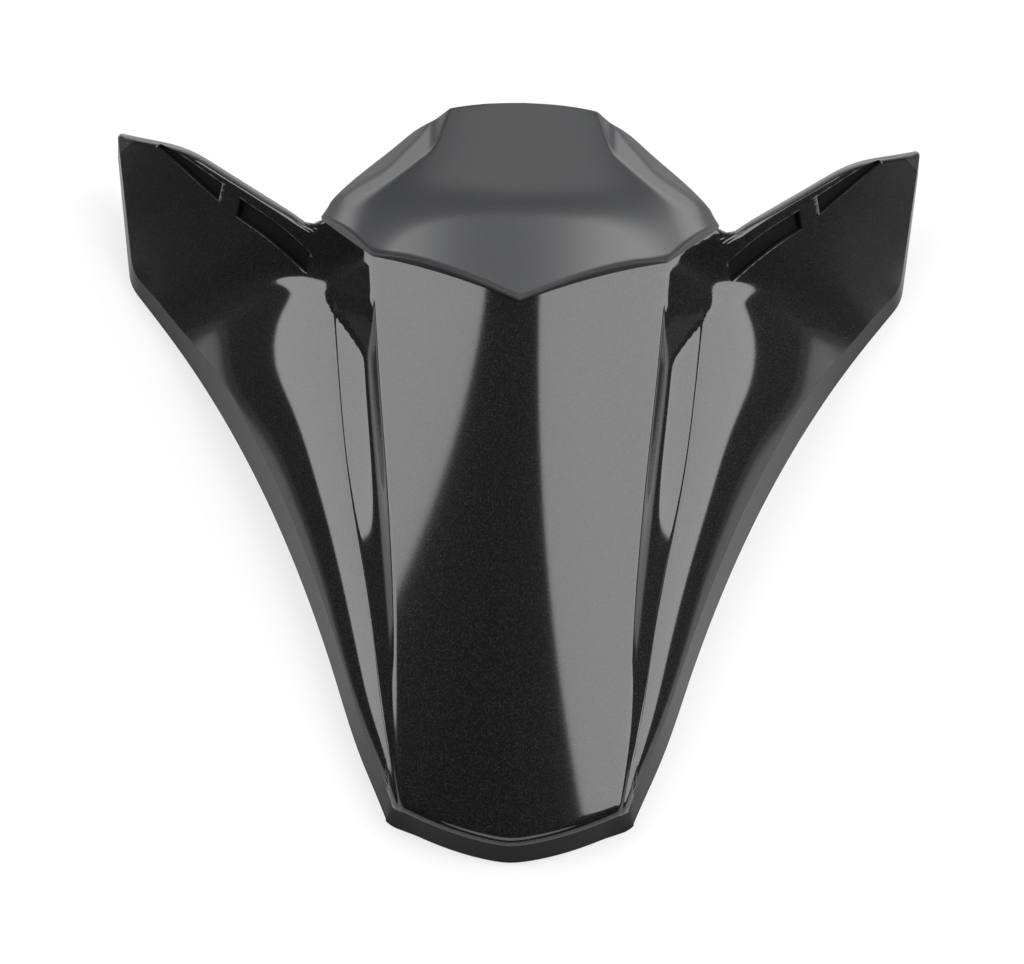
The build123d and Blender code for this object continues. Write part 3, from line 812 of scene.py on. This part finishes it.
def cut(piece, cutters):
    """Cuts the cutters out of a piece and removes them."""
    for cutter in cutters:
        tool = piece.modifiers.new("slot", "BOOLEAN")
        tool.operation = "DIFFERENCE"
        tool.solver = "EXACT"
        tool.material_mode = "TRANSFER"
        tool.object = cutter
    bpy.context.view_layer.update()
    graph = bpy.context.evaluated_depsgraph_get()
    result = bpy.data.meshes.new_from_object(piece.evaluated_get(graph))
    piece.modifiers.clear()
    piece.data = result
    for cutter in cutters:
        bpy.data.objects.remove(cutter)


def wall_strip(start, end, shares):
    """Points of a wall at shares of the way from one run of edge points to another."""
    return np.stack([start + (end - start) * share for share in shares], axis=0)


def rim_line(outer_foot, inner_foot, share):
    """Points on the underside of the rim, at a share of the way across the wall."""
    line = outer_foot + (inner_foot - outer_foot) * share
    line[:, 2] = outer_foot[:, 2]
    return line


def bevel_line(foot, heights):
    """Points of a rim edge above its bevel."""
    line = foot.copy()
    line[:, 2] = heights + RIM_BEVEL
    return line


def shell_half():
    """Outer skin, skirt, rim and inner skin of the right half."""
    outer_grid, outer_ring, outer_foot = shell_net(0.0)
    inner_grid, inner_ring, inner_foot = shell_net(WALL)
    low = outer_foot[:, 2]
    net = Mesher()
    outer = net.add(outer_grid)
    net.quads(outer[:-FRONT_EDGE_ROWS], SKIN_PAINT)
    net.quads(outer[-FRONT_EDGE_ROWS - 1:], FRONT_PAINT)
    skirt = net.add(wall_strip(outer_ring, outer_foot, SKIRT_SHARES))
    edge = net.add(bevel_line(outer_foot, low))
    toe = net.add(rim_line(outer_foot, inner_foot, RIM_TOE))
    net.quads(np.concatenate([edge_ring(outer)[None], skirt, edge[None], toe[None]]), SKIRT_PAINT)
    heel = net.add(rim_line(outer_foot, inner_foot, RIM_HEEL))
    inner = net.add(inner_grid)
    inside = net.add(wall_strip(bevel_line(inner_foot, low), inner_ring, INSIDE_SHARES))
    net.quads(np.concatenate([toe[None], heel[None], inside, edge_ring(inner)[None]]), INSIDE_PLASTIC)
    net.quads(inner, INSIDE_PLASTIC)
    return net


def make_shell(skin, inside, edge_skin, slot_shade_skin, front_skin):
    """The moulded shell: outer skin, rim, inner skin and slots."""
    piece = shell_half().build("shell_skin")
    for material in (skin, inside, edge_skin, slot_shade_skin, front_skin):
        piece.data.materials.append(material)
    cutters = []
    for corners in (INNER_SLOT, OUTER_SLOT):
        cutters += [slot_cutter(corners, side, slot_shade_skin) for side in (1, -1)]
    cut(piece, cutters)
    finish_mesh(piece, SHELL_ANGLE)
    return piece


def crown_face(x, y):
    """Rear face of the crown: arched at its crest and flatter at its foot."""
    crest = CREST_HEIGHT - x * x / (2 * CREST_RADIUS) - CREST_SHOULDER * (x / CREST_SHOULDER_AT) ** 4
    foot = CROWN_FACE_FOOT - arc_drop(x, CROWN_FOOT_RADIUS)
    return foot + (crest - foot) * (y - CROWN_BEND[1]) / (CREST_Y - CROWN_BEND[1])


def crown_scoop(x, y):
    """Shallow scoop between the crown's seam and its face."""
    lip = spine_line(CROWN_TIP_Y) + CROWN_LIP
    side = SCOOP_SIDE * (x / CROWN_BEND[0]) ** 4
    return lip + SCOOP_SLOPE * (y - CROWN_TIP_Y) - arc_drop(x, SCOOP_RADIUS) - side


def crown_bevel(x, y):
    """Bevel between the crown's face and its sides, turning up to the end of the crest."""
    x0, y0, z0 = CROWN_BEVEL
    turn = soft_max(CROWN_BEVEL_TURN - x, 0 * x, CROWN_BEVEL_BLEND)
    return z0 - CROWN_BEVEL_FALL * (x - x0) + CROWN_BEVEL_RISE * (y - y0) + turn


def crown_side(x, y):
    """Side of the crown, down to its front edge."""
    return CROWN_SIDE(x) - CROWN_SIDE_LEAN * (y - CROWN_BEVEL[1])


def crown_height(x, y):
    """Outer surface of the crown seen from above, before its edges are rolled."""
    top = soft_max(crown_scoop(x, y), crown_face(x, y), SCOOP_BLEND)
    sides = soft_min(crown_bevel(x, y), crown_side(x, y), CROWN_CREASE)
    crest_front = crown_face(x, CREST_Y + 0 * y) - CREST_LEAN * (y - CREST_Y)
    return soft_min(soft_min(top, sides, CROWN_CREASE), crest_front, CREST_BLEND)


def crown_plan(rows):
    """Plan grid of the crown's right half, from seam to front edge, and the lengths of its columns."""
    u = np.linspace(0, 1, CROWN_COLUMNS)
    corners = np.array([(0, CROWN_TIP_Y), CROWN_BEND, CROWN_CORNER])
    seam = np.stack([np.interp(u, (0, CROWN_BEND_SHARE, 1), corners[:, k]) for k in range(2)], axis=-1)
    x = (CROWN_CORNER[0] + CROWN_CORNER_REACH) * u
    setback = between(CROWN_SETBACK, CROWN_SIDE_SETBACK, ease((x - CROWN_SETBACK_START) / CROWN_SETBACK_RUN))
    end = CROWN_CORNER[1] + CROWN_END + CROWN_END_SLOPE * (x[-1] - x)
    front = plan_points(x, np.minimum(front_line(x) - setback, end))
    plan = seam[None] + (front - seam)[None] * rows[:, None, None]
    return plan, np.linalg.norm(front - seam, axis=1)[None]


def make_crown():
    """The crown cover: scooped face behind the crest, bevels and sloping sides, closed underneath."""
    rows = both_ends(CROWN_ROWS)
    plan, length = crown_plan(rows)
    x, y = plan[..., 0], plan[..., 1]
    from_seam = rows[:, None] * length * CROWN_SEAM_SHARE
    from_front = (1 - rows[:, None]) * length * CROWN_FRONT_SHARE
    z = crown_height(x, y) - rolled(from_seam, CROWN_ROLL) - rolled(from_front, CROWN_ROLL)
    base = spine(x, y) + CROWN_GAP
    z = np.maximum(z, base + CROWN_LEAST)
    net = Mesher()
    upper = net.add(np.stack([x, y, z], axis=-1))
    lower = net.add(np.stack([x, y, base], axis=-1))
    net.quads(upper)
    net.quads(lower)
    net.quads(np.stack([upper[0], lower[0]]))
    net.quads(np.stack([upper[-1], lower[-1]]))
    net.quads(np.stack([upper[:, -1], lower[:, -1]]))
    piece = net.build("crown_skin")
    finish_mesh(piece, CROWN_ANGLE)
    return piece


def new_material(name):
    """A node material with its shader and node helpers."""
    material = bpy.data.materials.new(name)
    material.use_nodes = True
    nodes = material.node_tree.nodes
    return material, nodes, material.node_tree.links, nodes["Principled BSDF"]


def set_inputs(node, **values):
    """Sets constant node values by socket name, with spaces written as underscores."""
    for name, value in values.items():
        node.inputs[name.replace("_", " ")].default_value = value


def tone_ramp(nodes, positions, colors):
    """Colour ramp with a colour at each of two positions."""
    ramp = nodes.new("ShaderNodeValToRGB")
    for element, position, color in zip(ramp.color_ramp.elements, positions, colors):
        element.position = position
        element.color = (*color, 1)
    return ramp


def map_range(nodes, source, result):
    """Node that maps one range of values to another."""
    node = nodes.new("ShaderNodeMapRange")
    set_inputs(node, From_Min=source[0], From_Max=source[1], To_Min=result[0], To_Max=result[1])
    return node


def flake_paint(name, coat_roughness):
    """Near-black metallic paint with fine flakes under a clear coat."""
    material, nodes, links, shader = new_material(name)
    set_inputs(shader, Metallic=0.4, Roughness=0.4, IOR=1.13)
    set_inputs(shader, Coat_Weight=1.0, Coat_Roughness=coat_roughness, Coat_IOR=1.55)
    place = nodes.new("ShaderNodeTexCoord")
    cells = nodes.new("ShaderNodeTexVoronoi")
    set_inputs(cells, Scale=FLAKE_SCALE)
    tint = tone_ramp(nodes, (FLAKE_DARK_SHARE, 1.0), (FLAKE_DARK, FLAKE_LIGHT))
    split = nodes.new("ShaderNodeSeparateColor")
    bump = nodes.new("ShaderNodeBump")
    set_inputs(bump, Strength=FLAKE_STRENGTH, Distance=FLAKE_RELIEF)
    links.new(place.outputs["Object"], cells.inputs["Vector"])
    links.new(cells.outputs["Color"], split.inputs["Color"])
    links.new(split.outputs["Red"], tint.inputs["Fac"])
    links.new(tint.outputs["Color"], shader.inputs["Base Color"])
    links.new(split.outputs["Green"], bump.inputs["Height"])
    links.new(bump.outputs["Normal"], shader.inputs["Normal"])
    return material


def grained(name, color, spread, roughness, scale, depth, **values):
    """A surface whose tone, roughness and relief vary with a fine grain."""
    material, nodes, links, shader = new_material(name)
    set_inputs(shader, **values)
    place = nodes.new("ShaderNodeTexCoord")
    grain = nodes.new("ShaderNodeTexNoise")
    set_inputs(grain, Scale=scale, Detail=GRAIN_DETAIL)
    tones = [[c * share for c in color] for share in (1 - spread, 1 + spread)]
    tint = tone_ramp(nodes, GRAIN_RANGE, tones)
    gloss = map_range(nodes, GRAIN_RANGE, roughness)
    bump = nodes.new("ShaderNodeBump")
    set_inputs(bump, Strength=GRAIN_STRENGTH, Distance=depth)
    links.new(place.outputs["Object"], grain.inputs["Vector"])
    links.new(grain.outputs["Fac"], tint.inputs["Fac"])
    links.new(tint.outputs["Color"], shader.inputs["Base Color"])
    links.new(grain.outputs["Fac"], gloss.inputs["Value"])
    links.new(gloss.outputs["Result"], shader.inputs["Roughness"])
    links.new(grain.outputs["Fac"], bump.inputs["Height"])
    links.new(bump.outputs["Normal"], shader.inputs["Normal"])
    return material


def dress(node, material):
    """Gives a carried-over node its material."""
    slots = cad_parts[node].data.materials
    slots.clear()
    slots.append(material)


def paint_light_pool(nodes, links, targets):
    """Paints a pool of light: takes sockets from their near level to their far level with the distance from
    the cowl.
    """
    place = nodes.new("ShaderNodeTexCoord")
    sideways = nodes.new("ShaderNodeVectorMath")
    sideways.operation = "MULTIPLY"
    sideways.inputs[1].default_value = FLOOR_STRETCH
    away = nodes.new("ShaderNodeVectorMath")
    away.operation = "LENGTH"
    links.new(place.outputs["Object"], sideways.inputs[0])
    links.new(sideways.outputs["Vector"], away.inputs[0])
    for socket, levels in targets:
        fade = map_range(nodes, FLOOR_POOL_FADE, levels)
        fade.interpolation_type = "SMOOTHSTEP"
        links.new(away.outputs["Value"], fade.inputs["Value"])
        links.new(fade.outputs["Result"], socket)


def seen_share(nodes, links, level):
    """Socket that holds a level for camera, glossy and transmission rays, and 0 for all others."""
    path = nodes.new("ShaderNodeLightPath")
    seen = path.outputs["Is Camera Ray"]
    for name in ("Is Glossy Ray", "Is Transmission Ray"):
        either = nodes.new("ShaderNodeMath")
        either.operation = "MAXIMUM"
        links.new(seen, either.inputs[0])
        links.new(path.outputs[name], either.inputs[1])
        seen = either.outputs["Value"]
    share = nodes.new("ShaderNodeMath")
    share.operation = "MULTIPLY"
    share.inputs[1].default_value = level
    links.new(seen, share.inputs[0])
    return share.outputs["Value"]


def floor_paint():
    """White that glows a little where it is seen, in a painted pool of light that darkens far from the cowl.
    """
    material, nodes, links, shader = new_material("floor_painted_light_pool")
    set_inputs(shader, Roughness=0.6, Specular_IOR_Level=0.1)
    glow = nodes.new("ShaderNodeEmission")
    # Painted pool of light: tone and glow fall from white near the cowl to dark grey far from it
    paint_light_pool(nodes, links, ((shader.inputs["Base Color"], FLOOR_POOL_TONE), (glow.inputs["Strength"], FLOOR_POOL_GLOW)))
    mix = nodes.new("ShaderNodeMixShader")
    links.new(seen_share(nodes, links, FLOOR_GLOW_SHARE), mix.inputs["Fac"])
    links.new(shader.outputs["BSDF"], mix.inputs[1])
    links.new(glow.outputs["Emission"], mix.inputs[2])
    links.new(mix.outputs["Shader"], nodes["Material Output"].inputs["Surface"])
    return material


def make_floor():
    """Pale floor that fills the frame."""
    mesh = bpy.data.meshes.new("floor")
    corners = [(x * FLOOR_HALF, y * FLOOR_HALF, 0) for x, y in ((-1, -1), (1, -1), (1, 1), (-1, 1))]
    mesh.from_pydata(corners, [], [(0, 1, 2, 3)])
    mesh.materials.append(floor_paint())
    floor = add_object("floor", mesh)


def pose(right, up, back, place):
    """Matrix of an object with these axes at a place."""
    rows = [(right[i], up[i], back[i], place[i]) for i in range(3)]
    return Matrix((*rows, (0, 0, 0, 1)))


def make_softbox(name, lateral, forward, half_lateral, half_forward, radiance):
    """A far elliptical lamp facing the cowl, placed and sized by angles sideways and forward from upright."""
    side = math.radians(lateral)
    ahead = math.radians(forward)
    towards = Vector((math.sin(side) * math.cos(ahead), math.sin(ahead), math.cos(side) * math.cos(ahead)))
    across = Vector((math.cos(side), 0, -math.sin(side)))
    data = bpy.data.lights.new(name, "AREA")
    data.shape = "ELLIPSE"
    data.size = 2 * LAMP_DISTANCE * math.tan(math.radians(half_lateral))
    data.size_y = 2 * LAMP_DISTANCE * math.tan(math.radians(half_forward))
    data.energy = radiance * math.pi * (math.pi / 4 * data.size * data.size_y)
    lamp = add_object(name, data)
    lamp.matrix_world = pose(across, towards.cross(across), towards, towards * LAMP_DISTANCE)


def make_world():
    """Dim grey surroundings that brighten softly ahead of the cowl."""
    world = bpy.data.worlds.new("studio")
    world.use_nodes = True
    nodes = world.node_tree.nodes
    links = world.node_tree.links
    background = nodes["Background"]
    set_inputs(background, Color=(1, 1, 1, 1))
    place = nodes.new("ShaderNodeTexCoord")
    split = nodes.new("ShaderNodeSeparateXYZ")
    glow = map_range(nodes, WORLD_RISE, WORLD_STRENGTH)
    glow.interpolation_type = "SMOOTHSTEP"
    links.new(place.outputs["Generated"], split.inputs["Vector"])
    links.new(split.outputs["Y"], glow.inputs["Value"])
    links.new(glow.outputs["Result"], background.inputs["Strength"])
    bpy.context.scene.world = world


def camera_axes(focal_px):
    """Right and forward axes of the camera, and the direction back from its target."""
    angles = (CAMERA_ELEVATION, CAMERA_AZIMUTH, CAMERA_ROLL)
    elevation, azimuth, roll = (math.radians(angle) for angle in angles)
    level = math.cos(elevation)
    back = Vector((math.sin(azimuth) * level, -math.cos(azimuth) * level, math.sin(elevation)))
    right = (-back).cross(Vector((0, 0, 1))).normalized()
    up = right.cross(-back)
    right, up = right * math.cos(roll) + up * math.sin(roll), up * math.cos(roll) - right * math.sin(roll)
    offset_x = (PICTURE_PX[0] / 2 - TARGET_PX[0]) / focal_px
    offset_y = -(PICTURE_PX[1] / 2 - TARGET_PX[1]) / focal_px
    forward = (-back + right * offset_x + up * offset_y).normalized()
    right = (right - forward * right.dot(forward)).normalized()
    return right, forward, back


def make_camera():
    """Camera at the photograph's angle, found by fitting the outline."""
    focal_px = CAMERA_DISTANCE / PIXEL_SIZE / MM
    right, forward, back = camera_axes(focal_px)
    x, y, z = CAMERA_TARGET
    target = Vector((x, y - LENGTH / 2, z)) * MM
    data = bpy.data.cameras.new("camera")
    data.sensor_fit = "HORIZONTAL"
    data.sensor_width = SENSOR_WIDTH
    data.lens = focal_px * SENSOR_WIDTH / PICTURE_PX[0]
    camera = add_object("camera", data)
    camera.matrix_world = pose(right, right.cross(forward), -forward, target + back * CAMERA_DISTANCE)
    bpy.context.scene.camera = camera


paint = flake_paint("flake_paint", coat_roughness=0.07)
front_paint = flake_paint("front_paint", coat_roughness=0.27)
bare_plastic = grained(
    "bare_plastic", color=(0.022, 0.022, 0.023), spread=0.3, roughness=(0.42, 0.6), scale=900.0, depth=0.0002)
satin = grained(
    "satin_paint", color=(0.041, 0.042, 0.0445), spread=0.16, roughness=(0.34, 0.42), scale=2200.0,
    depth=0.00004, Coat_Weight=0.25, Coat_Roughness=0.25)
zinc = grained(
    "zinc_plate", color=(0.50, 0.50, 0.49), spread=0.1, roughness=(0.28, 0.42), scale=500.0, depth=0.0001,
    Metallic=1.0)
coated_steel = grained(
    "coated_steel", color=(0.030, 0.030, 0.032), spread=0.2, roughness=(0.38, 0.5), scale=1200.0,
    depth=0.00015)
edge_paint = grained(
    "edge_paint", color=(0.005, 0.005, 0.0052), spread=0.2, roughness=(0.26, 0.34), scale=1800.0,
    depth=0.00004, IOR=1.18)
# Painted shade: near-black, barely reflective lining of the shallow slot pockets, standing in for the shade
# deep inside a slot
slot_painted_shade = grained(
    "slot_painted_shade", color=(0.004, 0.004, 0.004), spread=0.3, roughness=(0.5, 0.6), scale=1500.0, depth=0.0001,
    IOR=1.15)
rubber = grained(
    "rubber", color=(0.024, 0.024, 0.025), spread=0.25, roughness=(0.6, 0.75), scale=700.0, depth=0.0003)

shell = make_shell(paint, bare_plastic, edge_paint, slot_painted_shade, front_paint)
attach(shell, "root")
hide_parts("cowl_shell")

crown = make_crown()
crown.data.materials.append(satin)
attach(crown, "root")
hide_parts("crown_cover")

for node, material in (
    ("crown_screws", zinc), ("bracket_screws", zinc), ("tongue_screws", zinc), ("lock_striker", zinc),
    ("lock_bracket", coated_steel), ("tail_tongue", coated_steel), ("bump_rubbers", rubber),
):
    dress(node, material)

make_floor()
make_softbox("left_softbox", lateral=-42.0, forward=8.6, half_lateral=34.8, half_forward=14.2, radiance=4.5)
make_softbox("right_softbox", lateral=42.0, forward=3.0, half_lateral=36.0, half_forward=22.0, radiance=4.5)
make_softbox("rear_fill", lateral=0.0, forward=-60.0, half_lateral=30.0, half_forward=12.0, radiance=2.0)
make_world()
make_camera()
bpy.context.scene.view_settings.view_transform = "Standard"
